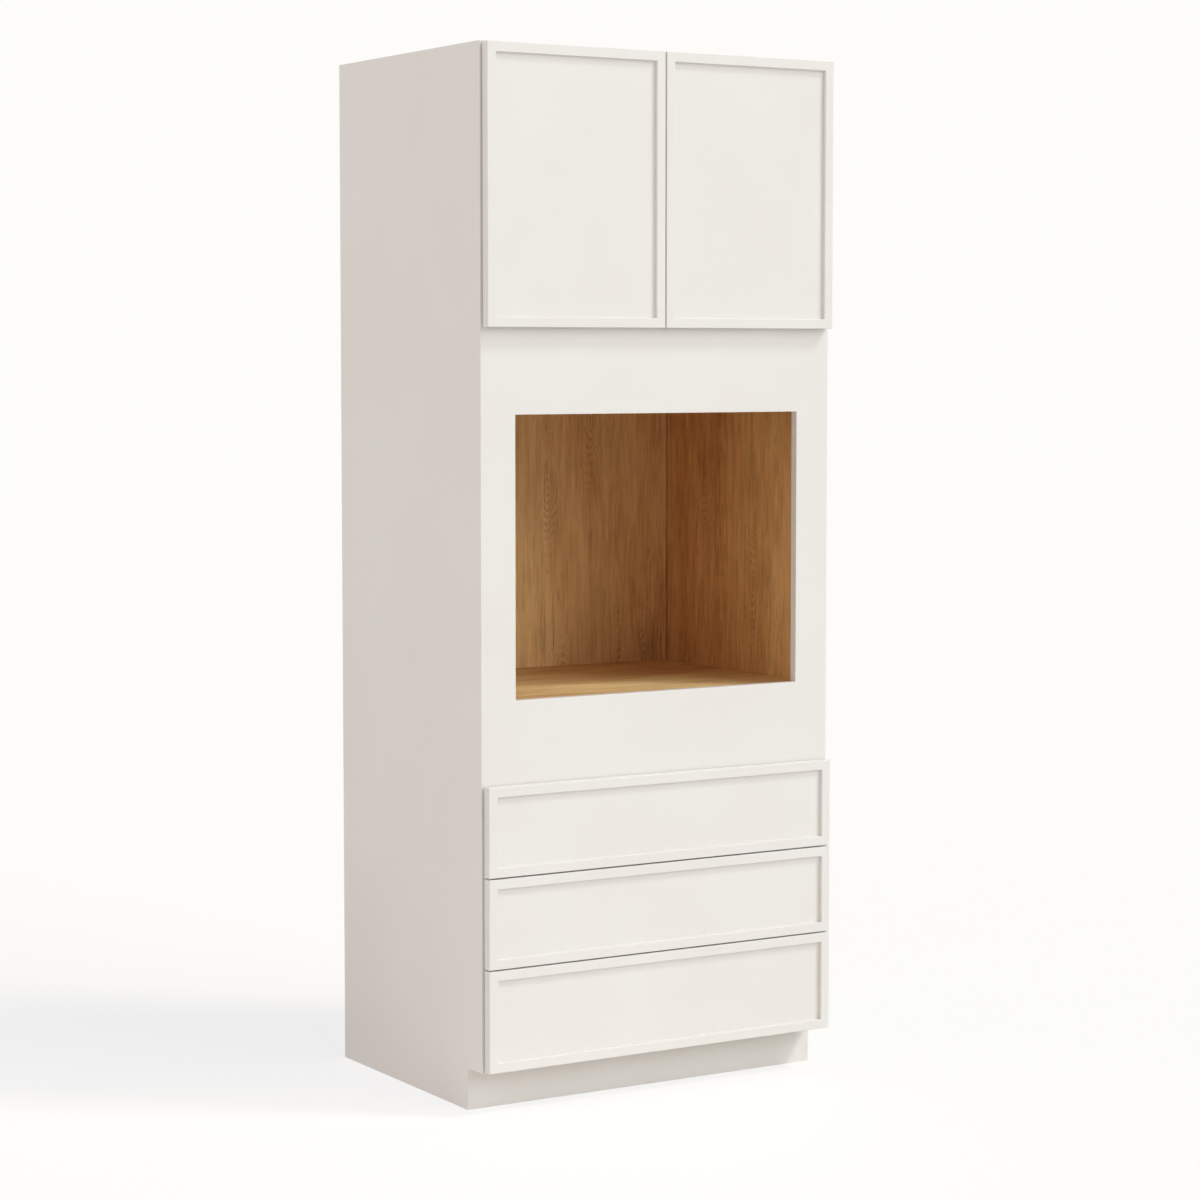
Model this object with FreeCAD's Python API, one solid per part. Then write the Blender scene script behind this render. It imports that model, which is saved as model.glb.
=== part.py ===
import FreeCAD, Part
import os

# Tall kitchen cabinet for a built-in oven, in millimetres.
# X runs across the front, Y from front to back, Z up.
# The origin is on the floor, in the middle of the footprint.

# Carcass: 33 x 84 x 24 inches without the doors and drawer fronts
WIDTH = 838.2
HEIGHT = 2133.6
DEPTH = 609.6
SIDE_T = 15.0
DECK_T = 18.0
BACK_T = 6.0
HOUSING = 5.0             # depth of the grooves that the decks and the back sit in
TOE_HEIGHT = 86.0
TOE_RECESS = 60.0         # from the front of the face frame
TOE_BOARD_T = 15.0

# Face frame
FRAME_T = 18.0
STILE_W = 38.1
RAIL_W = 38.1
FILLER_W = 41.0           # beside the oven opening
FRAME_ARRIS = 0.8

# Doors and drawer fronts: slim frames round a recessed panel
FRONT_T = 20.0
FRONT_GAP = 3.0           # between a closed front and the face frame
FRONT_SPACING = 3.0       # between neighbouring fronts
SIDE_REVEAL = 4.4
TOP_REVEAL = 2.4
BOTTOM_REVEAL = 2.5
SLIM_W = 20.0             # width of the slim frame
PANEL_T = 12.0
PANEL_LAP = 7.0           # how far the panel reaches behind the slim frame
FRONT_ARRIS = 1.2

# Heights of the front, from the bottom up
LOWER_FRONT_H = 206.0
UPPER_FRONT_H = 181.5
SILL_SHOW = 168.5         # frame shown between the top drawer and the oven opening
OVEN_H = 570.0
HEAD_SHOW = 173.0         # frame shown between the oven opening and the doors
RAIL_LAP = 20.0           # how far the doors and the top drawer front lap their rails

# Oven bay and cupboard
OVEN_SHELF_DROP = 6.0    # oven shelf below the lower edge of the opening
CLEAT_W = 20.0
CLEAT_H = 40.0
HANGING_T = 18.0
HANGING_H = 90.0
WALL_SCREW_R = 3.0
WALL_SCREW_INSET = 100.0
SHELF_PLAY = 1.5
SHELF_SETBACK = 20.0
SHELF_PIN_R = 2.5
SHELF_PIN_OUT = 9.0
SHELF_PIN_IN = 9.0
SHELF_PIN_INSET = 60.0    # from the front and back edges of the shelf
SHELF_HOLE_PITCH = 32.0
SHELF_HOLE_ROWS = 5

# Concealed hinges
HINGE_INSET = 80.0        # hinge centre from the end of its door
CUP_R = 17.5
CUP_EDGE = 3.0            # cup from the door's outer edge
CUP_FLOOR = 0.7
CUP_SKIN = 1.0            # wood left in front of the cup
CUP_PLAY = 0.05
FLANGE_T = 1.0
FLANGE_H = 54.0
FLANGE_IN = 15.0          # flange from the cup's centre towards the middle of the door
FLANGE_OUT = 7.0          # and towards its outer edge
POCKET_H = 9.0
POCKET_WALL = 2.0         # cup rim left at the inner end of the pocket
HINGE_PIN_R = 1.1
HINGE_PIN_PLAY = 0.05
PIVOT_INSET = 6.9         # pivot from the door's outer edge
KNUCKLE_R = 2.2
KNUCKLE_PLAY = 0.3
ARM_T = 1.6
ARM_H = 8.0
PLATE_T = 2.0
PLATE_H = 44.0
PLATE_MARGIN = 2.0        # plate kept back from the front and back of the stile
PLATE_SCREW_LENGTH = 16.0
PLATE_SCREW_SPACING = 28.0
CUP_SCREW_LENGTH = 9.0
CUP_SCREW_SPACING = 45.0
CUP_SCREW_OFFSET = 9.5    # from the cup's centre towards the middle of the door

# Pan-head screws of the hinges and slides
SCREW_R = 1.8
SCREW_HEAD_R = 3.2
SCREW_HEAD_T = 1.2

# Bumpers stuck to the face frame
BUMPER_R = 4.0
BUMPER_PLAY = 0.3
BUMPER_INSET = 10.0

# Drawer boxes and slides
BOX_T = 12.0
BOX_BOTTOM_T = 6.0
BOX_BOTTOM_UP = 10.0      # underside of the bottom above the lower edge of the box
BOX_GROOVE = 5.0
BOX_CLEAR_Z = 12.0        # above and below the box in its opening
SLIDE_W = 12.7
SLIDE_H = 45.0
SLIDE_SHEET = 1.2
SLIDE_PLAY = 0.3
SLIDE_LIP = 7.0
SLIDE_SETBACK = 2.0
REAR_CLEARANCE = 38.6     # from the drawer slides to the hanging rails
SPACER_H = 60.0
SLIDE_SCREW_LENGTH = 14.0
SLIDE_SCREW_INSET = 60.0  # from the ends of a slide

# Places across the cabinet
x_out = WIDTH / 2
x_in = x_out - SIDE_T
x_stile = x_out - STILE_W
x_oven = x_stile - FILLER_W
x_front = x_out - SIDE_REVEAL

# Places from front to back
front_proud = FRONT_GAP + FRONT_T
y_face = (front_proud - DEPTH) / 2
y_frame_back = y_face + FRAME_T
y_back = y_face + DEPTH
y_lining = y_back - BACK_T
y_hanging = y_lining - HANGING_T
y_front_back = y_face - FRONT_GAP
y_front = y_face - front_proud
y_slide = y_face + SLIDE_SETBACK
y_slide_end = y_hanging - REAR_CLEARANCE

# Heights
z_lower_front = TOE_HEIGHT + BOTTOM_REVEAL
z_middle_front = z_lower_front + LOWER_FRONT_H + FRONT_SPACING
z_upper_front = z_middle_front + UPPER_FRONT_H + FRONT_SPACING
z_fronts_top = z_upper_front + UPPER_FRONT_H
z_oven_sill = z_fronts_top + SILL_SHOW
z_oven_head = z_oven_sill + OVEN_H
z_door = z_oven_head + HEAD_SHOW
z_door_top = HEIGHT - TOP_REVEAL
z_bottom = TOE_HEIGHT + RAIL_W
z_oven_shelf = z_oven_sill - OVEN_SHELF_DROP
z_deck = z_door + RAIL_LAP
z_top = HEIGHT - DECK_T


def block(x0, x1, y0, y1, z0, z1):
    """A square-edged board between two corners."""
    return Part.makeBox(x1 - x0, y1 - y0, z1 - z0, FreeCAD.Vector(x0, y0, z0))


def rod(radius, start, end):
    """A round bar from one point to another."""
    start = FreeCAD.Vector(*start)
    run = FreeCAD.Vector(*end) - start
    return Part.makeCylinder(radius, run.Length, start, run)


def mirrored(shape):
    """The same piece on the other side of the cabinet."""
    return shape.mirror(FreeCAD.Vector(0, 0, 0), FreeCAD.Vector(1, 0, 0))


def both_sides(shapes):
    """Right-hand pieces followed by their left-hand twins."""
    return shapes + [mirrored(shape) for shape in shapes]


def save(node, shapes):
    """One file for a node, with each of its solids kept apart."""
    solids = [solid for shape in shapes for solid in shape.Solids]
    Part.makeCompound(solids).exportStep(f"parts/{node}.step")


def pan_screw(seat, tip):
    """A screw whose head bears on its seat and whose shank ends at its tip."""
    seat = FreeCAD.Vector(*seat)
    tip = FreeCAD.Vector(*tip)
    head_top = seat + (seat - tip).normalize() * SCREW_HEAD_T
    return rod(SCREW_HEAD_R, seat, head_top).fuse(rod(SCREW_R, seat, tip)).removeSplitter()


def rounded_front(blank, y, radius):
    """Rounds the arrises of a blank that lie in the plane Y = y."""
    boxes = [(edge, edge.BoundBox) for edge in blank.Edges]
    arrises = [edge for edge, box in boxes if abs(box.Center.y - y) + box.YLength < 0.001]
    return blank.makeFillet(radius, arrises)


os.makedirs("parts", exist_ok=True)

# Carcass boards, housed in grooves in the side panels
x_housed = x_in + HOUSING
top_panel = block(-x_housed, x_housed, y_frame_back, y_lining, z_top, HEIGHT)
upper_deck = block(-x_housed, x_housed, y_frame_back, y_lining, z_deck - DECK_T, z_deck)
bottom_panel = block(-x_housed, x_housed, y_frame_back, y_lining, z_bottom - DECK_T, z_bottom)
back_panel = block(-x_housed, x_housed, y_lining, y_back, z_bottom - DECK_T, HEIGHT)
oven_shelf = block(-x_in, x_in, y_frame_back, y_lining, z_oven_shelf - DECK_T, z_oven_shelf)
y_toe = y_face + TOE_RECESS
toe_kick_board = block(-x_in, x_in, y_toe, y_toe + TOE_BOARD_T, 0, z_bottom - DECK_T)

# Adjustable shelf, half way up the cupboard, and the pins that carry it
z_shelf = (z_deck + z_top - DECK_T) / 2
x_shelf = x_in - SHELF_PLAY
y_shelf = y_frame_back + SHELF_SETBACK
adjustable_shelf = block(-x_shelf, x_shelf, y_shelf, y_lining - SHELF_PLAY, z_shelf, z_shelf + DECK_T)
shelf_pins = []
pin_holes = []
for y_pin in (y_shelf + SHELF_PIN_INSET, y_lining - SHELF_PLAY - SHELF_PIN_INSET):
    z_pin = z_shelf - SHELF_PIN_R
    x_tip = x_in + SHELF_PIN_IN
    shelf_pins.append(rod(SHELF_PIN_R, (x_in - SHELF_PIN_OUT, y_pin, z_pin), (x_tip, y_pin, z_pin)))
    for row in range(SHELF_HOLE_ROWS):
        z_hole = z_pin + (row - (SHELF_HOLE_ROWS - 1) / 2) * SHELF_HOLE_PITCH
        pin_holes.append(rod(SHELF_PIN_R, (x_in, y_pin, z_hole), (x_tip, y_pin, z_hole)))

# Side panels, notched at the toe kick
side_panel = block(x_in, x_out, y_frame_back, y_back, 0, HEIGHT)
toe_notch = block(x_in, x_out, y_frame_back, y_toe, 0, TOE_HEIGHT)
side_panel = side_panel.cut([toe_notch, top_panel, upper_deck, bottom_panel, back_panel] + pin_holes)

save("right_side_panel", [side_panel])
save("left_side_panel", [mirrored(side_panel)])
save("top_panel", [top_panel])
save("upper_deck", [upper_deck])
save("bottom_panel", [bottom_panel])
save("oven_shelf", [oven_shelf])
save("toe_kick_board", [toe_kick_board])
save("adjustable_shelf", [adjustable_shelf])
save("shelf_pins", both_sides(shelf_pins))

# Hanging rails on the back, with the holes for the wall screws, and cleats under the oven shelf
hanging_rails = []
wall_holes = []
for z_rail in (z_top, z_oven_shelf - DECK_T):
    hanging_rails.append(block(-x_in, x_in, y_hanging, y_lining, z_rail - HANGING_H, z_rail))
    for x_hole in (-x_in + WALL_SCREW_INSET, x_in - WALL_SCREW_INSET):
        z_hole = z_rail - HANGING_H / 2
        wall_holes.append(rod(WALL_SCREW_R, (x_hole, y_hanging, z_hole), (x_hole, y_back, z_hole)))
z_cleat = z_oven_shelf - DECK_T
cleat = block(x_in - CLEAT_W, x_in, y_frame_back, y_hanging, z_cleat - CLEAT_H, z_cleat)

save("hanging_rails", [rail.cut(wall_holes) for rail in hanging_rails])
save("back_panel", [back_panel.cut(wall_holes)])
save("oven_shelf_cleats", both_sides([cleat]))

# Hinges of the right-hand door; the left-hand door's are their mirror image
cup_depth = PANEL_T - CUP_SKIN
pocket_depth = cup_depth - CUP_FLOOR
pivot_depth = pocket_depth - KNUCKLE_PLAY - KNUCKLE_R
x_pivot = x_front - PIVOT_INSET
y_pivot = y_front_back - pivot_depth
x_cup = x_front - CUP_EDGE - CUP_R
x_pocket_in = x_cup - CUP_R + POCKET_WALL
x_leg = x_pocket_in + KNUCKLE_PLAY
z_hinges = (z_door + HINGE_INSET, z_door_top - HINGE_INSET)


def hinge_cup(z):
    """Cup and flange let into the back of the door, with the pivot pin across the pocket."""
    y_floor = y_front_back - cup_depth
    cup = rod(CUP_R, (x_cup, y_floor, z), (x_cup, y_front_back, z))
    flange = block(x_cup - FLANGE_IN, x_cup + FLANGE_OUT, y_front_back, y_front_back + FLANGE_T,
                   z - FLANGE_H / 2, z + FLANGE_H / 2)
    x_pocket_out = x_pivot + KNUCKLE_R + KNUCKLE_PLAY
    pocket = block(x_pocket_in, x_pocket_out, y_floor + CUP_FLOOR, y_front_back + FLANGE_T,
                   z - POCKET_H / 2, z + POCKET_H / 2)
    pin_half = POCKET_H / 2 + CUP_FLOOR
    pin = rod(HINGE_PIN_R, (x_pivot, y_pivot, z - pin_half), (x_pivot, y_pivot, z + pin_half))
    return cup.fuse(flange).cut([pocket] + cup_screws(z)).fuse(pin).removeSplitter()


def cup_screws(z):
    """The two screws that hold a cup's flange to the back of the door."""
    x = x_cup - CUP_SCREW_OFFSET
    y_seat = y_front_back + FLANGE_T
    y_tip = y_seat - CUP_SCREW_LENGTH
    half = CUP_SCREW_SPACING / 2
    return [pan_screw((x, y_seat, z_screw), (x, y_tip, z_screw)) for z_screw in (z - half, z + half)]


def cup_bore(z):
    """The blind hole in the door that takes a cup."""
    return rod(CUP_R + CUP_PLAY, (x_cup, y_front_back - cup_depth, z), (x_cup, y_front_back, z))


def hinge_arm(z):
    """Knuckle on the pin, strap out of the cup, and the plate on the inner edge of the stile."""
    low, high = z - ARM_H / 2, z + ARM_H / 2
    knuckle = rod(KNUCKLE_R, (x_pivot, y_pivot, low), (x_pivot, y_pivot, high))
    strap = block(x_leg, x_pivot, y_pivot - ARM_T / 2, y_pivot + ARM_T / 2, low, high)
    y_tab = y_face - FRONT_GAP / 2 + ARM_T / 2
    leg = block(x_leg, x_leg + PLATE_T, y_pivot - ARM_T / 2, y_tab, low, high)
    x_plate = x_stile - PLATE_T
    tab = block(min(x_leg, x_plate), max(x_leg + PLATE_T, x_stile), y_tab - ARM_T, y_tab, low, high)
    neck = block(x_plate, x_stile, y_tab - ARM_T, y_face + PLATE_MARGIN, low, high)
    plate = block(x_plate, x_stile, y_face + PLATE_MARGIN, y_frame_back - PLATE_MARGIN,
                  z - PLATE_H / 2, z + PLATE_H / 2)
    bore = rod(HINGE_PIN_R + HINGE_PIN_PLAY, (x_pivot, y_pivot, low), (x_pivot, y_pivot, high))
    arm = knuckle.fuse([strap, leg, tab, neck, plate]).removeSplitter()
    return arm.cut([bore] + plate_screws(z))


def plate_screws(z):
    """The two screws that hold a plate to its stile."""
    x_seat = x_stile - PLATE_T
    x_tip = x_seat + PLATE_SCREW_LENGTH
    y = (y_face + y_frame_back) / 2
    half = PLATE_SCREW_SPACING / 2
    return [pan_screw((x_seat, y, z_screw), (x_tip, y, z_screw)) for z_screw in (z - half, z + half)]


# Face frame: the stiles, rails and fillers lie flush in one plate with the oven opening in it
plate = block(-x_out, x_out, y_face, y_frame_back, TOE_HEIGHT, HEIGHT)
opening = block(-x_oven, x_oven, y_face, y_frame_back, z_oven_sill, z_oven_head)
face = rounded_front(plate.cut(opening), y_face, FRAME_ARRIS)


def frame_piece(x0, x1, z0, z1):
    """The stretch of the face frame between two corners."""
    return face.common(block(x0, x1, y_face, y_frame_back, z0, z1))


z_gaps = [z_front - FRONT_SPACING / 2 for z_front in (z_middle_front, z_upper_front)]
mounting_screws = [screw for z in z_hinges for screw in plate_screws(z)]
right_stile = frame_piece(x_stile, x_out, TOE_HEIGHT, HEIGHT).cut(mounting_screws)
save("right_stile", [right_stile])
save("left_stile", [mirrored(right_stile)])
save("top_rail", [frame_piece(-x_stile, x_stile, HEIGHT - RAIL_W, HEIGHT)])
save("oven_head_rail", [frame_piece(-x_stile, x_stile, z_oven_head, z_deck)])
save("oven_fillers", both_sides([frame_piece(x_oven, x_stile, z_oven_sill, z_oven_head)]))
save("oven_sill_rail", [frame_piece(-x_stile, x_stile, z_fronts_top - RAIL_LAP, z_oven_sill)])
save("drawer_rails", [frame_piece(-x_stile, x_stile, z - RAIL_W / 2, z + RAIL_W / 2) for z in z_gaps])
save("bottom_rail", [frame_piece(-x_stile, x_stile, TOE_HEIGHT, z_bottom)])
save("hinge_arms", both_sides([hinge_arm(z) for z in z_hinges]))


def slim_front(x0, x1, z0, z1):
    """A framed front: left stile, right stile, top rail, bottom rail and the panel let in from behind."""
    left, right = x0 + SLIM_W, x1 - SLIM_W
    low, high = z0 + SLIM_W, z1 - SLIM_W
    ring = block(x0, x1, y_front, y_front_back, z0, z1)
    ring = ring.cut(block(left, right, y_front, y_front_back, low, high))
    ring = rounded_front(ring, y_front, FRONT_ARRIS)
    panel = block(left - PANEL_LAP, right + PANEL_LAP, y_front_back - PANEL_T, y_front_back,
                  low - PANEL_LAP, high + PANEL_LAP)
    ring = ring.cut(panel)
    spans = [(x0, left, z0, z1), (right, x1, z0, z1), (left, right, high, z1), (left, right, z0, low)]
    pieces = [ring.common(block(xa, xb, y_front, y_front_back, za, zb)) for xa, xb, za, zb in spans]
    return pieces, panel


# Doors
door_parts = ("meeting_stile", "hinge_stile", "top_rail", "bottom_rail")
door_frame, door_panel = slim_front(FRONT_SPACING / 2, x_front, z_door, z_door_top)
door_screws = [screw for z in z_hinges for screw in cup_screws(z)]
door_holes = [cup_bore(z) for z in z_hinges] + door_screws
door_nodes = {name: [piece.cut(door_holes)] for name, piece in zip(door_parts, door_frame)}
door_nodes["panel"] = [door_panel.cut(door_holes)]
door_nodes["hinge_cups"] = [hinge_cup(z) for z in z_hinges]
door_nodes["cup_screws"] = door_screws
for name, shapes in door_nodes.items():
    save(f"right_door_{name}", shapes)
    save(f"left_door_{name}", [mirrored(shape) for shape in shapes])

# Drawers
x_box = x_stile - SLIDE_W
drawer_openings = {
    "lower": (z_lower_front, LOWER_FRONT_H, z_bottom, z_gaps[0] - RAIL_W / 2),
    "middle": (z_middle_front, UPPER_FRONT_H, z_gaps[0] + RAIL_W / 2, z_gaps[1] - RAIL_W / 2),
    "upper": (z_upper_front, UPPER_FRONT_H, z_gaps[1] + RAIL_W / 2, z_fronts_top - RAIL_LAP),
}


def slide_members(z):
    """The right-hand slide at height z: cabinet member, intermediate member and drawer member."""
    half = SLIDE_H / 2
    step = SLIDE_SHEET + SLIDE_PLAY

    def channel(x0, x1, web, web_half):
        """Two flanges from x0 to x1, joined by an upright web."""
        flange = block(x0, x1, y_slide, y_slide_end, z + web_half - SLIDE_SHEET, z + web_half)
        lower = block(x0, x1, y_slide, y_slide_end, z - web_half, z - web_half + SLIDE_SHEET)
        upright = block(web, web + SLIDE_SHEET, y_slide, y_slide_end, z - web_half, z + web_half)
        return upright.fuse([flange, lower]).removeSplitter()

    x_web = x_stile - (SLIDE_W + SLIDE_SHEET) / 2
    cabinet = channel(x_stile - SLIDE_LIP, x_stile, x_stile - SLIDE_SHEET, half)
    middle = channel(x_box + step, x_stile - step, x_web, half - step)
    drawer = channel(x_box, x_web - SLIDE_PLAY, x_box, half - 2 * step)
    return cabinet, middle, drawer


def drawer_box(z_low, z_high):
    """The box between two heights: right-hand side, both ends, and the bottom grooved into them."""
    x_inside = x_box - BOX_T
    side = block(x_inside, x_box, y_front_back, y_slide_end, z_low, z_high)
    front_end = block(-x_inside, x_inside, y_front_back, y_front_back + BOX_T, z_low, z_high)
    back_end = block(-x_inside, x_inside, y_slide_end - BOX_T, y_slide_end, z_low, z_high)
    x_groove = x_inside + BOX_GROOVE
    shoulder = BOX_T - BOX_GROOVE
    z_floor = z_low + BOX_BOTTOM_UP
    floor = block(-x_groove, x_groove, y_front_back + shoulder, y_slide_end - shoulder,
                  z_floor, z_floor + BOX_BOTTOM_T)
    return side.cut(floor), [front_end.cut(floor), back_end.cut(floor)], floor


cabinet_members = []
spacers = []
for name, (z_front, front_h, z_low, z_high) in drawer_openings.items():
    front_frame, front_panel = slim_front(-x_front, x_front, z_front, z_front + front_h)
    box_side, box_ends, box_bottom = drawer_box(z_low + BOX_CLEAR_Z, z_high - BOX_CLEAR_Z)
    z_slide = (z_low + z_high) / 2
    cabinet_member, intermediate, runner = slide_members(z_slide)
    save(f"{name}_drawer_front_frame", front_frame)
    save(f"{name}_drawer_front_panel", [front_panel])
    save(f"{name}_drawer_sides", both_sides([box_side]))
    save(f"{name}_drawer_ends", box_ends)
    save(f"{name}_drawer_bottom", [box_bottom])
    save(f"{name}_drawer_runners", both_sides([runner]))
    save(f"{name}_slide_intermediates", both_sides([intermediate]))

    x_seat = x_stile - SLIDE_SHEET
    x_tip = x_seat + SLIDE_SCREW_LENGTH
    slide_screws = [pan_screw((x_seat, y, z_slide), (x_tip, y, z_slide))
                    for y in (y_slide + SLIDE_SCREW_INSET, y_slide_end - SLIDE_SCREW_INSET)]
    spacer = block(x_stile, x_in, y_frame_back, y_slide_end, z_slide - SPACER_H / 2, z_slide + SPACER_H / 2)
    cabinet_members.append(cabinet_member.cut(slide_screws))
    spacers.append(spacer.cut(slide_screws))
    mounting_screws += slide_screws

save("slide_cabinet_members", both_sides(cabinet_members))
save("slide_spacers", both_sides(spacers))
save("mounting_screws", both_sides(mounting_screws))

# Bumpers on the face frame: at the meeting edges of the doors and the upper corners of the drawer fronts
x_meeting = FRONT_SPACING / 2 + BUMPER_INSET
bumper_places = [(x_meeting, z_door + BUMPER_INSET), (x_meeting, z_door_top - BUMPER_INSET)]
for z_front, front_h, z_low, z_high in drawer_openings.values():
    bumper_places.append(((x_stile + x_front) / 2, z_front + front_h - BUMPER_INSET))
y_bumper = y_front_back + BUMPER_PLAY
bumpers = [rod(BUMPER_R, (x, y_bumper, z), (x, y_face, z)) for x, z in bumper_places]
save("bumpers", both_sides(bumpers))
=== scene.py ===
import math

import bmesh
import bpy
from mathutils import Matrix, Vector


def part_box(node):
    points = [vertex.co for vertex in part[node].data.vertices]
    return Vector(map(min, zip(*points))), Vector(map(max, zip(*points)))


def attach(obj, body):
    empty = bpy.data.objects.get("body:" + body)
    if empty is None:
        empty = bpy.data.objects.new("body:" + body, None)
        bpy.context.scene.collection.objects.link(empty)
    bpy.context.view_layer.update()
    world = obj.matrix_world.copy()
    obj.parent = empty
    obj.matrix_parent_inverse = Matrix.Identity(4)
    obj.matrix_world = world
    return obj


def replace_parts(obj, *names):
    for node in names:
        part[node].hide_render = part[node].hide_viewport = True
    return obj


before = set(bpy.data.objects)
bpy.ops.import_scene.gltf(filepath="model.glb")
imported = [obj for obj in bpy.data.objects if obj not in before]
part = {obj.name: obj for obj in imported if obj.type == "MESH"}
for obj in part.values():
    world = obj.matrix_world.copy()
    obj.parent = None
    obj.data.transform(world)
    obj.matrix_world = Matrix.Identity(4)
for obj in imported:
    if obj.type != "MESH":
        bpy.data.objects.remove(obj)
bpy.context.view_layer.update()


# Side panels and top panel: the carcass, cut from flat board and screwed up into a box. The board is
# sprayed white outside, and its inside face carries a warm brown wood veneer with the grain upright.
class Shade:
    """A shader socket. Sums written on it add Math nodes, and node() adds any other node."""

    def __init__(self, tree, socket=None):
        self.tree = tree
        self.socket = socket

    def node(self, kind, settings=(), inputs=(), out=0):
        made = self.tree.nodes.new(kind)
        for name, value in dict(settings).items():
            setattr(made, name, value)
        for name, value in dict(inputs).items():
            if isinstance(value, Shade):
                self.tree.links.new(value.socket, made.inputs[name])
            else:
                made.inputs[name].default_value = value
        return Shade(self.tree, made.outputs[out])

    def also(self, out):
        return Shade(self.tree, self.socket.node.outputs[out])

    def sum(self, operation, *values):
        return self.node("ShaderNodeMath", {"operation": operation}, dict(enumerate(values)))

    def __add__(self, other):
        return self.sum("ADD", self, other)

    def __radd__(self, other):
        return self.sum("ADD", other, self)

    def __sub__(self, other):
        return self.sum("SUBTRACT", self, other)

    def __rsub__(self, other):
        return self.sum("SUBTRACT", other, self)

    def __mul__(self, other):
        return self.sum("MULTIPLY", self, other)

    def __rmul__(self, other):
        return self.sum("MULTIPLY", other, self)

    def __truediv__(self, other):
        return self.sum("DIVIDE", self, other)

    def __rtruediv__(self, other):
        return self.sum("DIVIDE", other, self)

    def __pow__(self, other):
        return self.sum("POWER", self, other)

    def __rpow__(self, other):
        return self.sum("POWER", other, self)

    def __lt__(self, other):
        return self.sum("LESS_THAN", self, other)

    def __gt__(self, other):
        return self.sum("GREATER_THAN", self, other)


def srgb(painted_shade, green, blue):
    """A colour as a paint chart gives it, 0 to 255, as the linear numbers that a shader takes."""
    steps = [c / 255 for c in (painted_shade, green, blue)]
    return (*[s / 12.92 if s < 0.04045 else ((s + 0.055) / 1.055) ** 2.4 for s in steps], 1)


def mixed(share, first, second):
    """The first colour where share is 0, the second where it is 1."""
    return share.node("ShaderNodeMix", {"data_type": "RGBA"}, {0: share, 6: first, 7: second}, 2)


def eased(value, low, high):
    """0 up to low and 1 from high on, with a soft ramp between."""
    return value.node(
        "ShaderNodeMapRange",
        {"interpolation_type": "SMOOTHSTEP"},
        {"Value": value, "From Min": low, "From Max": high},
    )


def cloud(place, stretch, detail=2.0, roughness=0.5):
    """Noise from 0 to 1, with its own number of lumps to the metre on each axis."""
    scaled = place.node("ShaderNodeMapping", {}, {"Vector": place, "Scale": stretch})
    return place.node(
        "ShaderNodeTexNoise",
        {},
        {"Vector": scaled, "Scale": 1.0, "Detail": detail, "Roughness": roughness},
    )


PAINT = srgb(234, 233, 230)
PAINT_DULL = srgb(232, 231, 227)


def paint_coat(place):
    """Sprayed satin paint: colour, roughness and the height of its faint orange peel."""
    drift = cloud(place, (4, 4, 4), 3)
    peel = cloud(place, (420, 420, 420), 2)
    colour = mixed(eased(drift, 0.3, 0.7), PAINT, PAINT_DULL)
    return colour, 0.4 + drift * 0.1, peel


SIDE_VENEER = {
    "light": srgb(255, 221, 156),
    "mid": srgb(242, 193, 130),
    "dark": srgb(206, 150, 93),
    "line": srgb(120, 76, 42),
}
KNOT_BROWN = srgb(92, 54, 30)
EYES_ACROSS = 6.4
EYES_ALONG = 1.9
EYE_SHIFT = (7.3, 3.1)
RINGS = 30


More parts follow.
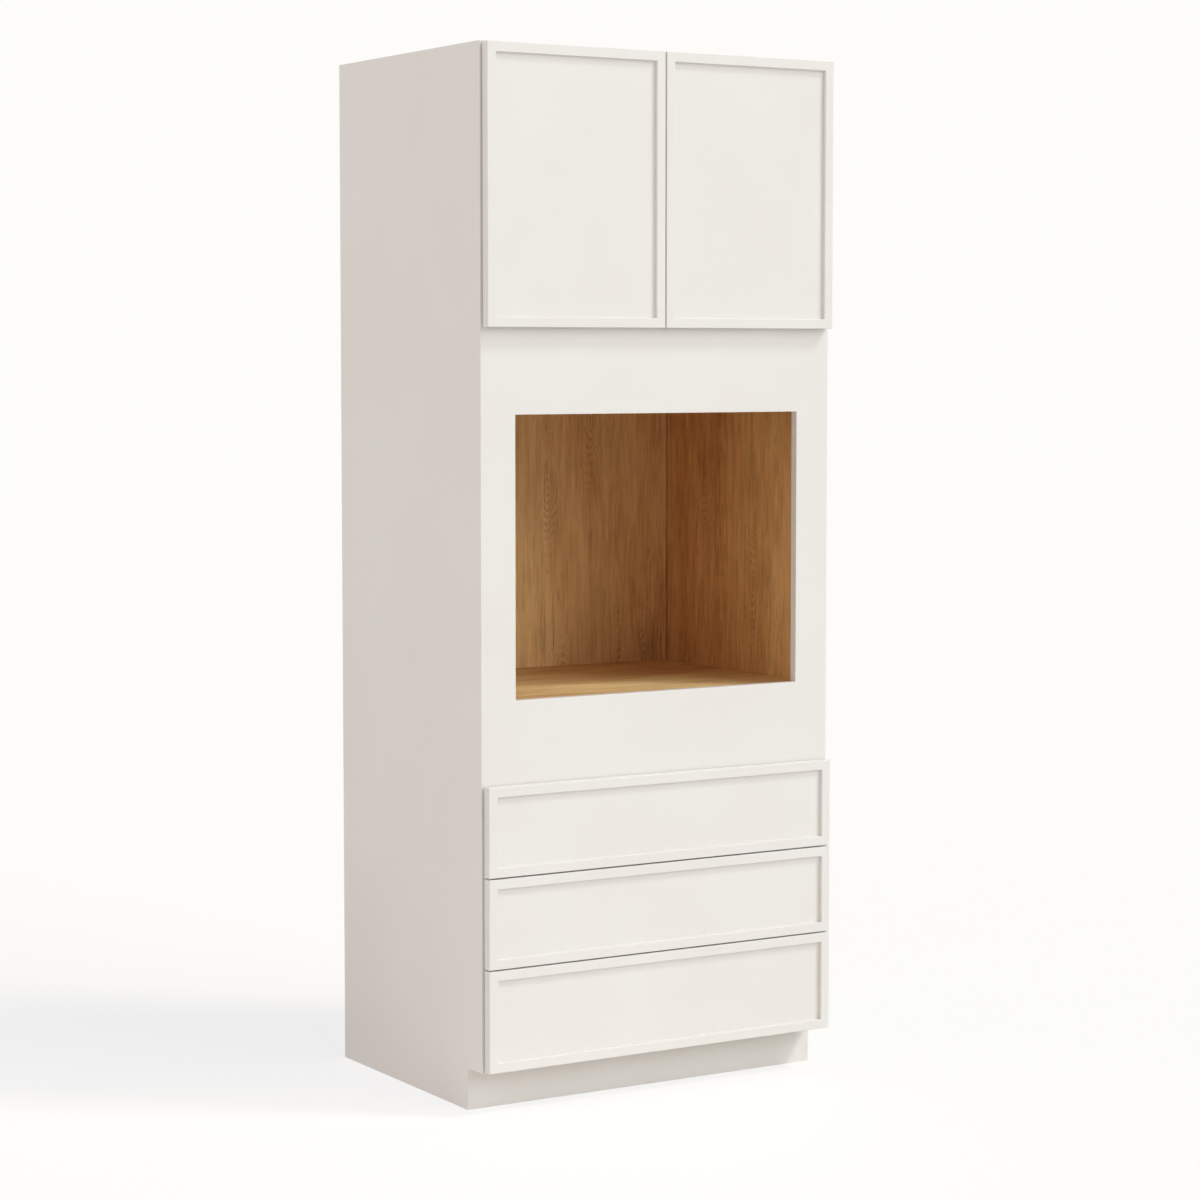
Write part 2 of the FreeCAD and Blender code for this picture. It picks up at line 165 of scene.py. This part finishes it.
def veneer_leaf(place, across, along, veneer, painted_light_at, shift):
    """Veneer with the ways across and along its grain: soft bands, streaks, mottling and flecks, and
    here and there an eye with rings round it. Its tone also carries painted light and shade: it is
    palest at the place given after the veneer colours and darker further from it across the grain, and
    shift picks another stretch of the leaf."""
    turn = place.node("ShaderNodeCombineXYZ", {}, {0: across, 1: along, 2: shift})
    sway = cloud(turn, (16, 2.6, 1), 3) - 0.5
    bent = across + sway * 0.03
    waved = place.node("ShaderNodeCombineXYZ", {}, {0: bent, 1: along, 2: shift})
    eye_across = bent * EYES_ACROSS + shift * EYE_SHIFT[0]
    eye_along = along * EYES_ALONG + shift * EYE_SHIFT[1]
    spot = place.node("ShaderNodeCombineXYZ", {}, {0: eye_across, 1: eye_along})
    eye = place.node("ShaderNodeTexVoronoi", {"voronoi_dimensions": "2D"}, {"Vector": spot, "Scale": 1.0})
    luck = eye.also("Color")
    growth = (eye + (cloud(turn, (34, 7, 1), 3, 0.6) - 0.5) * 0.1) * RINGS
    ring = growth.sum("FRACT", growth) ** 2
    broken = eased(cloud(turn, (40, 9, 1), 2), 0.28, 0.56)
    ringed = (1 - eased(eye, 0.06, 0.4)) * eased(luck, 0.28, 0.4) * broken
    knot = (1 - eased(eye, 0.004, 0.022)) * eased(luck, 0.5, 0.55)
    band = cloud(waved, (10, 2.2, 1), 4, 0.6)
    streak = cloud(waved, (58, 4, 1), 4, 0.62)
    fibre = cloud(waved, (300, 12, 1), 3, 0.65)
    vein = eased(cloud(waved, (190, 5, 1), 3, 0.62), 0.52, 0.68)
    fleck = eased(cloud(waved, (210, 19, 1), 2, 0.6), 0.58, 0.72)
    mottle = eased(cloud(turn, (15, 8, 1), 2), 0.5, 0.75)
    strong = 0.2 + 0.8 * eased(cloud(turn, (17, 3, 1), 2), 0.42, 0.62)
    # Painted shade: the veneer darkens the further across lies from its painted palest place.
    painted_shade = across - painted_light_at
    painted_shade = eased(painted_shade.sum("ABSOLUTE", painted_shade), 0.0, 0.4)
    grain = eased(band * 0.5 + streak * 0.5, 0.38, 0.62)
    tone = mixed(grain * 0.5 + painted_shade * 0.62, veneer["light"], veneer["dark"])
    tone = mixed(eased(fibre, 0.4, 0.66) * 0.5, tone, veneer["mid"])
    tone = mixed(eased(0.62 - fibre, 0.0, 0.3) * 0.22, tone, veneer["line"])
    tone = mixed(ring * ringed * 0.5, tone, veneer["line"])
    tone = mixed(vein * strong * 0.34, tone, veneer["line"])
    tone = mixed(fleck * strong * 0.46, tone, veneer["line"])
    tone = mixed(mottle * 0.2, tone, veneer["line"])
    tone = mixed(knot * 0.6, tone, KNOT_BROWN)
    return tone, 0.42 + fibre * 0.14, fibre * 0.6 - fleck * 0.4


def new_finish(name):
    """A new material, the start of its nodes, and Object coordinates whole and split in three."""
    made = bpy.data.materials.new(name)
    made.use_nodes = True
    start = Shade(made.node_tree)
    place = start.node("ShaderNodeTexCoord", out="Object")
    ways = [place.node("ShaderNodeSeparateXYZ", {}, {0: place}, axis) for axis in range(3)]
    return made, place, ways


def dress(made, colour, roughness, height, depth, **plain):
    """Joins a finish to its shader, with its height as a bump of that depth in metres."""
    shader = made.node_tree.nodes["Principled BSDF"]
    bump = height.node("ShaderNodeBump", {}, {"Distance": depth, "Height": height}, "Normal")
    for socket, value in {"Base Color": colour, "Roughness": roughness, "Normal": bump}.items():
        made.node_tree.links.new(value.socket, shader.inputs[socket])
    for name, value in plain.items():
        socket = shader.inputs[name.replace("_", " ")]
        if isinstance(value, Shade):
            made.node_tree.links.new(value.socket, socket)
        else:
            socket.default_value = value


def give(made, *names):
    """Puts a finish on CAD nodes."""
    for name in names:
        for slot in part[name].material_slots:
            slot.material = made


SKIN = 0.0004
BOARD_LOW, BOARD_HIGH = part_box("right_side_panel")
BOARD_INSIDE = BOARD_LOW[0] + SKIN / 2
BOARD_OUTSIDE = BOARD_HIGH[0] - SKIN
BACK_EDGE = BOARD_HIGH[1] - SKIN
BACK_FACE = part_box("back_panel")[0][1]
# Painted shade: the veneer is darkened within this width of the corners where boards meet.
SEAM = 0.0045
SEAM_SHADE = 0.6
GRAIN_DEPTH = 0.00006
# Painted light and shade: the side and top veneer is palest at the front edge and darker toward the back.
SIDE_PAINTED_LIGHT = -0.28
SIDE_SHIFT = 2.0
CORE_LIGHT = srgb(206, 178, 138)
CORE_DARK = srgb(150, 116, 78)


def corner_shaded(wood, reach, corner):
    """Veneer darkened toward brown as painted shade in a corner, where reach comes up to corner."""
    return mixed(eased(reach, corner - SEAM, corner) * SEAM_SHADE, wood, KNOT_BROWN)


def lined_board(name, inside, grain, bored=lambda x, y, z: y > BACK_EDGE):
    """Board with paint outside, veneer where inside is 1, and the raw core where bored is 1 and on its
    rear edge."""
    made, place, (x, y, z) = new_finish(name)
    paint, paint_rough, peel = paint_coat(place)
    ways = {"x": x, "y": y, "z": z}
    across, along = (ways[way] for way in grain)
    wood, wood_rough, fibre = veneer_leaf(place, across, along, SIDE_VENEER, SIDE_PAINTED_LIGHT, x * SIDE_SHIFT)
    chips = eased(cloud(place, (260, 260, 260), 3, 0.7), 0.35, 0.65)
    core = mixed(chips, CORE_LIGHT, CORE_DARK)
    lining = inside(x, y, z)
    raw = lining.sum("MAXIMUM", y > BACK_EDGE, bored(x, y, z))
    # The veneer gets painted shade where it meets the back panel.
    colour = mixed(raw, mixed(lining, paint, corner_shaded(wood, y, BACK_FACE)), core)
    rough = (paint_rough + (wood_rough - paint_rough) * lining) * (1 - raw) + raw * 0.85
    height = (peel + (fibre - peel) * lining) * (1 - raw) + chips * raw
    dress(made, colour, rough, height, GRAIN_DEPTH)
    return made


BORED_HEIGHTS = (0.2, 2.12)


def side_lined(x, y, z):
    """1 on the inside face of a side panel."""
    return x.sum("ABSOLUTE", x) < BOARD_INSIDE


def side_bored(x, y, z):
    """1 in the holes and grooves of a side panel."""
    depth = x.sum("ABSOLUTE", x)
    low, high = BORED_HEIGHTS
    return (depth > BOARD_INSIDE) * (depth < BOARD_OUTSIDE) * (z > low) * (z < high)


give(lined_board("lined side board", side_lined, "yz", side_bored), "left_side_panel", "right_side_panel")
TOP_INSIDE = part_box("top_panel")[0][2] + SKIN
give(lined_board("lined top board", lambda x, y, z: z < TOP_INSIDE, "yx"), "top_panel")


# Upper deck, bottom panel, oven shelf, adjustable shelf, hanging rails and shelf cleats: the veneered
# boards that run across the carcass, with the grain from side to side, housed in grooves or screwed.
SHELF_VENEER = {
    "light": srgb(255, 232, 172),
    "mid": srgb(248, 208, 142),
    "dark": srgb(186, 134, 78),
    "line": srgb(176, 124, 70),
}
# Painted light and shade: the cross boards are palest along a slanting line toward the front-left of the
# oven shelf, and darker toward its back and right.
SHELF_PAINTED_LIGHT = 0.7
SHELF_PAINTED_LIGHT_SLANT = 0.4
SHELF_SHIFT = 0.7
made, place, (x, y, z) = new_finish("veneered cross board")
# The slanting line where the cross boards are painted palest.
palest = SHELF_PAINTED_LIGHT - x * SHELF_PAINTED_LIGHT_SLANT
wood, rough, fibre = veneer_leaf(place, y + z, x, SHELF_VENEER, palest, SHELF_SHIFT)
dress(made, wood, rough, fibre, GRAIN_DEPTH)
give(made, "upper_deck", "bottom_panel", "oven_shelf", "adjustable_shelf")
give(made, "hanging_rails", "oven_shelf_cleats")


# Back panel: thin plywood let into the sides and stapled to the rear. Its inside face has the same
# veneer as the sides, in upright leaves, and its outside face is raw pale plywood.
RAW_PLY = srgb(228, 206, 168)
RAW_PLY_DARK = srgb(206, 178, 136)
# Painted light and shade: the back's veneer is palest near its middle and darker toward its sides and the
# corners.
BACK_PAINTED_LIGHT = 0.02
BACK_SHIFT = 0.3
STAPLE = srgb(178, 180, 182)
STAPLE_CROWN = (0.011, 0.0013)
STAPLE_PITCH = 0.13
STAPLE_INSET = 0.009
PANEL_LOW, PANEL_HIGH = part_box("back_panel")
PANEL_FRONT = PANEL_LOW[1] + SKIN


def within(value, middle, width):
    """1 where value lies in a strip of that width."""
    off = value - middle
    return off.sum("ABSOLUTE", off) < width / 2


def staple_row(off_edge, along):
    """Crowns in a row at the middle of each pitch, driven flush."""
    step = along / STAPLE_PITCH
    return off_edge * within(step.sum("FRACT", step), 0.5, STAPLE_CROWN[0] / STAPLE_PITCH)


made, place, (x, y, z) = new_finish("veneered back")
wood, rough, fibre = veneer_leaf(place, x, z, SIDE_VENEER, BACK_PAINTED_LIGHT, BACK_SHIFT)
turn = place.node("ShaderNodeCombineXYZ", {}, {0: x, 1: z, 2: 0.0})
peeled = cloud(turn, (5, 0.7, 1), 2) * 26
figure = peeled.sum("SINE", peeled) * 0.14
streak = cloud(turn, (110, 2.2, 1), 3, 0.6) + figure
ply = mixed(eased(streak, 0.25, 0.8), RAW_PLY, RAW_PLY_DARK)
rear = y > PANEL_FRONT
upright = within(x.sum("ABSOLUTE", x), PANEL_HIGH[0] - STAPLE_INSET, STAPLE_CROWN[1])
low_row = within(z, PANEL_LOW[2] + STAPLE_INSET, STAPLE_CROWN[1])
high_row = within(z, PANEL_HIGH[2] - STAPLE_INSET, STAPLE_CROWN[1])
stapled = rear * upright.sum("MAXIMUM", staple_row(upright, z), staple_row(low_row + high_row, x))
# Painted shade in the corners where the back meets the sides.
wood = corner_shaded(wood, x.sum("ABSOLUTE", x), BOARD_INSIDE)
colour = mixed(stapled, mixed(rear, wood, ply), STAPLE)
rough = (rough + rear * 0.25) * (1 - stapled * 0.5)
dress(made, colour, rough, fibre - stapled, GRAIN_DEPTH, Metallic=stapled)
give(made, "back_panel")


# Face frame and toe kick board: solid stiles, rails and fillers glued edge to edge, sanded flush and
# sprayed in the same satin white as the outside of the carcass.
PEEL_DEPTH = 0.00003
made, place, ways = new_finish("white satin paint")
paint, rough, peel = paint_coat(place)
dress(made, paint, rough, peel, PEEL_DEPTH)
give(made, "right_stile", "left_stile", "top_rail", "oven_head_rail", "oven_fillers", "oven_sill_rail")
give(made, "drawer_rails", "bottom_rail", "toe_kick_board")


# Doors and drawer fronts: slim frames of stiles and rails round a flat panel that is let in from the
# back, sprayed white all over. They have no handles.
DOORS = ("left_door", "right_door")
DOOR_PIECES = ("meeting_stile", "hinge_stile", "top_rail", "bottom_rail", "panel")
DRAWERS = ("upper_drawer", "middle_drawer", "lower_drawer")
for door in DOORS:
    give(made, *[f"{door}_{piece}" for piece in DOOR_PIECES])
for drawer in DRAWERS:
    give(made, drawer + "_front_frame", drawer + "_front_panel")


# Hinges, shelf pins and screws: pressed and turned steel with a bright nickel plate. The cups press
# into the doors, and the arms sit on plates that are screwed to the stiles.
NICKEL = srgb(206, 203, 196)
NICKEL_DULL = srgb(184, 181, 174)
PLATE_MARKS = 0.00001
nickel, place, ways = new_finish("nickel plate")
haze = cloud(place, (90, 90, 90), 3)
rub = cloud(place, (2400, 2400, 300), 2)
colour = mixed(eased(haze, 0.35, 0.7), NICKEL, NICKEL_DULL)
dress(nickel, colour, 0.3 + haze * 0.2, rub, PLATE_MARKS, Metallic=1.0)
give(nickel, "hinge_arms", "shelf_pins")
SCREW = {"head": 0.0032, "rise": 0.0012, "shank": 0.0018}
SCREW_SIDES = 20
RECESS = {"half": 0.13, "depth": 0.6, "taper": 0.9}
FLAT = 1e-7


def grown(mesh, faces, rise, scale):
    """Draws faces up along Z, scaled about it, and gives back the new end faces."""
    made = bmesh.ops.extrude_face_region(mesh, geom=faces)["geom"]
    points = [item for item in made if isinstance(item, bmesh.types.BMVert)]
    bmesh.ops.scale(mesh, verts=points, vec=(scale, scale, 1))
    bmesh.ops.translate(mesh, verts=points, vec=(0, 0, rise))
    return [item for item in made if isinstance(item, bmesh.types.BMFace)]


def level_faces(mesh, height):
    """The faces that lie flat at a height."""
    return [face for face in mesh.faces if all(abs(point.co.z - height) < FLAT for point in face.verts)]


def cross_recess(mesh, top, half):
    """Sinks a cross into the flat end of a screw head at height top."""
    for off, way in ((half, (1, 0, 0)), (-half, (1, 0, 0)), (half, (0, 1, 0)), (-half, (0, 1, 0))):
        caps = level_faces(mesh, top)
        edges = list(dict.fromkeys(edge for face in caps for edge in face.edges))
        points = list(dict.fromkeys(point for face in caps for point in face.verts))
        plane = [off * share for share in way]
        bmesh.ops.bisect_plane(mesh, geom=points + edges + caps, plane_co=plane, plane_no=way)
    caps = level_faces(mesh, top)
    arms = [face for face in caps if min(abs(c) for c in face.calc_center_median()[:2]) < half * 0.9]
    grown(mesh, arms, -RECESS["depth"] * SCREW["rise"], RECESS["taper"])


def new_piece(name, mesh, finish, body):
    """Makes a mesh an object that rides on a body."""
    data = bpy.data.meshes.new(name)
    mesh.to_mesh(data)
    mesh.free()
    data.materials.append(finish)
    piece = bpy.data.objects.new(name, data)
    bpy.context.scene.collection.objects.link(piece)
    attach(piece, body)
    return piece


def screw_set(name, body, length, seats, size=1.0):
    """Pan-head screws with cross recesses, turned from wire. Each seat is a point and the way that
    its head faces."""
    head, rise, shank = (SCREW[key] * size for key in ("head", "rise", "shank"))
    turned = bmesh.new()
    bmesh.ops.create_circle(turned, cap_ends=True, segments=SCREW_SIDES, radius=shank)
    bmesh.ops.translate(turned, verts=turned.verts, vec=(0, 0, -length))
    end = turned.faces[:]
    dome = ((rise * 0.5, 1), (rise * 0.3, 0.88), (rise * 0.2, 0.7))
    for up, scale in ((length, 1), (0, head / shank), *dome):
        end = grown(turned, end, up, scale)
    cross_recess(turned, rise, head * RECESS["half"])
    bmesh.ops.recalc_face_normals(turned, faces=turned.faces)
    pattern = bpy.data.meshes.new("screw pattern")
    turned.to_mesh(pattern)
    turned.free()
    together = bmesh.new()
    for seat, way in seats:
        before = len(together.verts)
        together.from_mesh(pattern)
        lean = Vector((0, 0, 1)).rotation_difference(Vector(way)).to_matrix().to_4x4()
        bmesh.ops.transform(together, matrix=Matrix.Translation(seat) @ lean, verts=together.verts[before:])
    bpy.data.meshes.remove(pattern)
    return new_piece(name, together, nickel, body)


HINGE_PLATE = 0.002
HINGE_HALF = 0.022
PLATE_SCREW_OFF = 0.014
CUP_SCREW_OFF = 0.0225
CUP_SCREW_LENGTH = 0.009
SLIDE_STRIP = 0.0012
SLIDE_SCREW_IN = 0.06
SLIDE_SCREW_LENGTH = 0.014


def box_middle(name, axis):
    """The middle of a node's box on one axis."""
    low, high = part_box(name)
    return (low[axis] + high[axis]) / 2


ARMS_LOW, ARMS_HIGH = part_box("hinge_arms")
SLIDES_LOW, SLIDES_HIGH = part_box("slide_cabinet_members")
HINGE_HEIGHTS = (ARMS_LOW[2] + HINGE_HALF, ARMS_HIGH[2] - HINGE_HALF)
PLATE_SEAT = (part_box("right_stile")[0][0] - HINGE_PLATE, box_middle("right_stile", 1))
CUP_SEAT = (box_middle("right_door_cup_screws", 0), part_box("right_door_hinge_cups")[1][1])
SLIDE_SEAT = SLIDES_HIGH[0] - SLIDE_STRIP
SLIDE_SCREW_PLACES = (SLIDES_LOW[1] + SLIDE_SCREW_IN, SLIDES_HIGH[1] - SLIDE_SCREW_IN)
slide_heights = [box_middle(drawer + "_runners", 2) for drawer in DRAWERS]
plate_seats = []
slide_seats = []
for hand in (-1, 1):
    inward = (-hand, 0, 0)
    for height in HINGE_HEIGHTS:
        for off in (-PLATE_SCREW_OFF, PLATE_SCREW_OFF):
            plate_seats.append(((hand * PLATE_SEAT[0], PLATE_SEAT[1], height + off), inward))
    slide_seats += [((hand * SLIDE_SEAT, y, z), inward) for y in SLIDE_SCREW_PLACES for z in slide_heights]
fixing_screws = screw_set("fixing_screws", "cabinet", SLIDE_SCREW_LENGTH, plate_seats + slide_seats)
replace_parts(fixing_screws, "mounting_screws")
for door, hand in zip(DOORS, (-1, 1)):
    give(nickel, door + "_hinge_cups")
    offs = [height + off for height in HINGE_HEIGHTS for off in (-CUP_SCREW_OFF, CUP_SCREW_OFF)]
    seats = [((hand * CUP_SEAT[0], CUP_SEAT[1], height), (0, 1, 0)) for height in offs]
    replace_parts(screw_set(door + "_flange_screws", door, CUP_SCREW_LENGTH, seats), door + "_cup_screws")


# Drawer boxes and slide spacers: pale solid wood and plywood, glued at the corners, with the grain
# along each board and a thin clear lacquer.
DRAWER_PALE = srgb(226, 200, 160)
DRAWER_WARM = srgb(206, 172, 126)
DRAWER_LINE = srgb(178, 138, 92)
LACQUER_DEPTH = 0.00005
BOX_BOARD = 0.012
DOWEL = srgb(196, 158, 112)
DOWEL_RADIUS = 0.004
DOWEL_RIM = 0.0003
DOWEL_IN = 0.022


def nearest(value, places):
    """How far value is from the nearest of some places."""
    gaps = [value - spot for spot in places]
    gaps = [gap.sum("ABSOLUTE", gap) for gap in gaps]
    least = gaps[0]
    for gap in gaps[1:]:
        least = least.sum("MINIMUM", least, gap)
    return least


def drawer_wood(name, across, along, dowelled=False):
    """Pale wood with the ways across and along its grain; the sides show the ends of the dowels that
    hold the corners."""
    made, place, ways = new_finish(name)
    width = ways[across[0]] + ways[across[1]]
    turn = place.node("ShaderNodeCombineXYZ", {}, {0: width, 1: ways[along], 2: 0.0})
    band = cloud(turn, (26, 1.1, 1), 2, 0.6)
    fibre = cloud(turn, (800, 9, 1), 3, 0.65)
    growth = cloud(turn, (120, 1.4, 1), 2)
    tone = mixed(eased(band, 0.3, 0.7), DRAWER_PALE, DRAWER_WARM)
    tone = mixed(eased(growth, 0.55, 0.75) * 0.5, tone, DRAWER_LINE)
    tone = mixed(eased(fibre, 0.5, 0.8) * 0.35, tone, DRAWER_LINE)
    if dowelled:
        boxes = [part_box(drawer + "_sides") for drawer in DRAWERS]
        ends = (boxes[0][0][1] + BOX_BOARD / 2, boxes[0][1][1] - BOX_BOARD / 2)
        heights = [height for low, high in boxes for height in (low[2] + DOWEL_IN, high[2] - DOWEL_IN)]
        off = nearest(ways[1], ends) ** 2 + nearest(ways[2], heights) ** 2
        tone = mixed(1 - eased(off ** 0.5, DOWEL_RADIUS - DOWEL_RIM, DOWEL_RADIUS), tone, DOWEL)
    dress(made, tone, 0.4 + fibre * 0.14, fibre, LACQUER_DEPTH)
    return made


side_wood = drawer_wood("drawer side wood", (0, 2), 1, True)
end_wood = drawer_wood("drawer end wood", (1, 2), 0)
floor_ply = drawer_wood("drawer bottom plywood", (1, 2), 0)
for drawer in DRAWERS:
    give(side_wood, drawer + "_sides")
    give(end_wood, drawer + "_ends")
    give(floor_ply, drawer + "_bottom")
give(drawer_wood("slide spacer wood", (0, 2), 1), "slide_spacers")
FRONT_SCREW_X = 0.13
FRONT_SCREW_UP = 0.034
FRONT_SCREW_DOWN = 0.022
FRONT_SCREW_LENGTH = 0.02
FRONT_SCREW_SIZE = 1.5
for drawer in DRAWERS:
    low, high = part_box(drawer + "_ends")
    inside = low[1] + BOX_BOARD
    heights = (low[2] + FRONT_SCREW_UP, high[2] - FRONT_SCREW_DOWN)
    seats = [((x, inside, z), (0, 1, 0)) for x in (-FRONT_SCREW_X, FRONT_SCREW_X) for z in heights]
    screw_set(drawer + "_front_screws", drawer, FRONT_SCREW_LENGTH, seats, FRONT_SCREW_SIZE)


# Drawer slides: channels rolled from zinc-plated strip, three to a side, that run in each other on
# balls. The plating is a cool grey with faint cloudy spangle and draw marks along the strip.
ZINC = srgb(190, 194, 198)
ZINC_DULL = srgb(172, 177, 182)
zinc, place, ways = new_finish("zinc plate")
spangle = cloud(place, (260, 190, 260), 3)
draw = cloud(place, (1800, 5, 1800), 2)
colour = mixed(eased(spangle, 0.25, 0.75), ZINC, ZINC_DULL)
dress(zinc, colour, 0.32 + draw * 0.16, draw, PLATE_MARKS, Metallic=1.0)
give(zinc, "slide_cabinet_members", "upper_slide_intermediates", "middle_slide_intermediates")
give(zinc, "lower_slide_intermediates")
RUNNER_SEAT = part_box("upper_drawer_sides")[1][0] + SLIDE_STRIP
RUNNER_SCREW_LENGTH = 0.0105
RUNNER_SCREW_PLACES = (-0.255, -0.06, 0.205)
LATCH = {"front": -0.165, "length": 0.07, "width": 0.013, "lift": 0.0016, "taper": 0.45}
LATCH_STRIP = 0.0006
LATCH_CLEAR = 0.0001
for drawer, height in zip(DRAWERS, slide_heights):
    give(zinc, drawer + "_runners")
    seats = [
        ((hand * RUNNER_SEAT, y, height), (hand, 0, 0)) for hand in (-1, 1) for y in RUNNER_SCREW_PLACES
    ]
    screw_set(drawer + "_runner_screws", drawer, RUNNER_SCREW_LENGTH, seats)
    tongues = bmesh.new()
    for hand in (-1, 1):
        before = len(tongues.verts)
        bmesh.ops.create_grid(tongues, x_segments=8, y_segments=2, size=0.5)
        points = tongues.verts[before:]
        for point in points:
            share = point.co.x + 0.5
            point.co.y *= 1 - LATCH["taper"] * share ** 2
            point.co.z = LATCH["lift"] * math.sin(math.pi * share) ** 2 + LATCH_CLEAR
        bmesh.ops.scale(tongues, verts=points, vec=(LATCH["length"], LATCH["width"], 1))
        turn = Matrix(((0, 0, hand), (1, 0, 0), (0, hand, 0))).to_4x4()
        seat = Vector((hand * RUNNER_SEAT, LATCH["front"] + LATCH["length"] / 2, height))
        bmesh.ops.transform(tongues, matrix=Matrix.Translation(seat) @ turn, verts=points)
    bmesh.ops.recalc_face_normals(tongues, faces=tongues.faces)
    bmesh.ops.solidify(tongues, geom=tongues.faces[:], thickness=-LATCH_STRIP)
    new_piece(drawer + "_latch_tongues", tongues, zinc, drawer)


# Bumpers: small soft domes moulded from clear rubber, with an adhesive back. They are stuck to the
# frame where the closed fronts rest.
BUMPER = srgb(222, 222, 216)
BUMPER_DUSTY = srgb(204, 203, 196)
BUMPER_DUST = 0.00002
made, place, ways = new_finish("bumper rubber")
dust = cloud(place, (300, 300, 300), 3)
dress(made, mixed(eased(dust, 0.35, 0.7), BUMPER, BUMPER_DUSTY), 0.35 + dust * 0.2, dust, BUMPER_DUST)
give(made, "bumpers")


# Floor, light and camera: a plain white studio. A broad lamp stands low to the right in front, a smaller
# one above it throws the shadow to the left, and a soft glow fills in from the left. The floor goes on
# white to the horizon and keeps the shadow.
FLOOR_REACH = 60
FLOOR_SIDES = 96
FLOOR_DROP = 0.0005
FLOOR_BOUNCE = (0.88, 0.87, 0.84, 1)
FLOOR_SHOWN = (0.310, 0.293, 0.225, 1)
FLOOR_GLOW = (0.722, 0.735, 0.772, 1)
BACKGROUND = (0.985, 0.976, 0.952, 1)
SKY_LEVEL = 0.18
SKY_TINT = (1.0, 0.99, 0.98)
SIDE_LEVEL = 1.0
SIDE_TINT = (1.0, 0.905, 0.872)
SIDE_REACH = (-0.2, 1.0)
LAMPS = {
    "front_lamp": {"level": 1.17, "spread": 40, "height": 26, "turn": 30},
    "shadow_lamp": {"level": 1.19, "spread": 12, "height": 50, "turn": 52},
}
LAMP_COLOUR = (0.99, 0.99, 0.98)

floor_mesh = bmesh.new()
bmesh.ops.create_circle(floor_mesh, cap_ends=True, segments=FLOOR_SIDES, radius=FLOOR_REACH)
bmesh.ops.translate(floor_mesh, verts=floor_mesh.verts, vec=(0, 0, -FLOOR_DROP))
floor_data = bpy.data.meshes.new("studio_floor")
floor_mesh.to_mesh(floor_data)
floor_mesh.free()
floor = bpy.data.objects.new("studio_floor", floor_data)
bpy.context.scene.collection.objects.link(floor)


def seen_rays(start):
    """1 for rays that show the background: from the camera, off gloss and through glass."""
    path = "ShaderNodeLightPath"
    seen = start.node(path, out="Is Camera Ray") + start.node(path, out="Is Glossy Ray")
    return (seen + start.node(path, out="Is Transmission Ray")).sum("MINIMUM", seen, 1.0)


made = bpy.data.materials.new("studio floor white")
made.use_nodes = True
made.node_tree.nodes.remove(made.node_tree.nodes["Principled BSDF"])
start = Shade(made.node_tree)
bounce = start.node("ShaderNodeBsdfDiffuse", {}, {"Color": FLOOR_BOUNCE})
shown = start.node("ShaderNodeBsdfDiffuse", {}, {"Color": FLOOR_SHOWN})
glow = start.node("ShaderNodeEmission", {}, {"Color": FLOOR_GLOW})
white = start.node("ShaderNodeAddShader", {}, {0: shown, 1: glow})
both = start.node("ShaderNodeMixShader", {}, {0: seen_rays(start), 1: bounce, 2: white})
made.node_tree.links.new(both.socket, made.node_tree.nodes["Material Output"].inputs["Surface"])
floor_data.materials.append(made)

world = bpy.data.worlds.new("studio sky")
bpy.context.scene.world = world
world.use_nodes = True
start = Shade(world.node_tree)
heading = start.node("ShaderNodeTexCoord", out="Generated")
leftward = 0 - heading.node("ShaderNodeSeparateXYZ", {}, {0: heading}, 0)
sky = (*[SKY_LEVEL * tint for tint in SKY_TINT], 1)
side_light = (*[SIDE_LEVEL * tint for tint in SIDE_TINT], 1)
colour = mixed(seen_rays(start), mixed(eased(leftward, *SIDE_REACH), sky, side_light), BACKGROUND)
world.node_tree.links.new(colour.socket, world.node_tree.nodes["Background"].inputs["Color"])

for name, setting in LAMPS.items():
    lamp_data = bpy.data.lights.new(name, "SUN")
    lamp_data.energy = setting["level"]
    lamp_data.angle = math.radians(setting["spread"])
    lamp_data.color = LAMP_COLOUR
    lamp = bpy.data.objects.new(name, lamp_data)
    lamp.rotation_euler = (math.radians(90 - setting["height"]), 0, math.radians(setting["turn"]))
    bpy.context.scene.collection.objects.link(lamp)

CAMERA = {"sensor": 36, "lens": 91.87, "shift": -0.0203, "reach": 200}
CAMERA_PLACE = (-3.3652, -5.5688, 1.5179)
CAMERA_DOWN = 4.1
CAMERA_TURN = -31.414
camera_data = bpy.data.cameras.new("camera")
camera_data.sensor_width = CAMERA["sensor"]
camera_data.lens = CAMERA["lens"]
camera_data.shift_y = CAMERA["shift"]
camera_data.clip_end = CAMERA["reach"]
camera = bpy.data.objects.new("camera", camera_data)
camera.location = CAMERA_PLACE
camera.rotation_euler = (math.radians(90 - CAMERA_DOWN), 0, math.radians(CAMERA_TURN))
bpy.context.scene.collection.objects.link(camera)
bpy.context.scene.camera = camera
bpy.context.scene.view_settings.view_transform = "Standard"
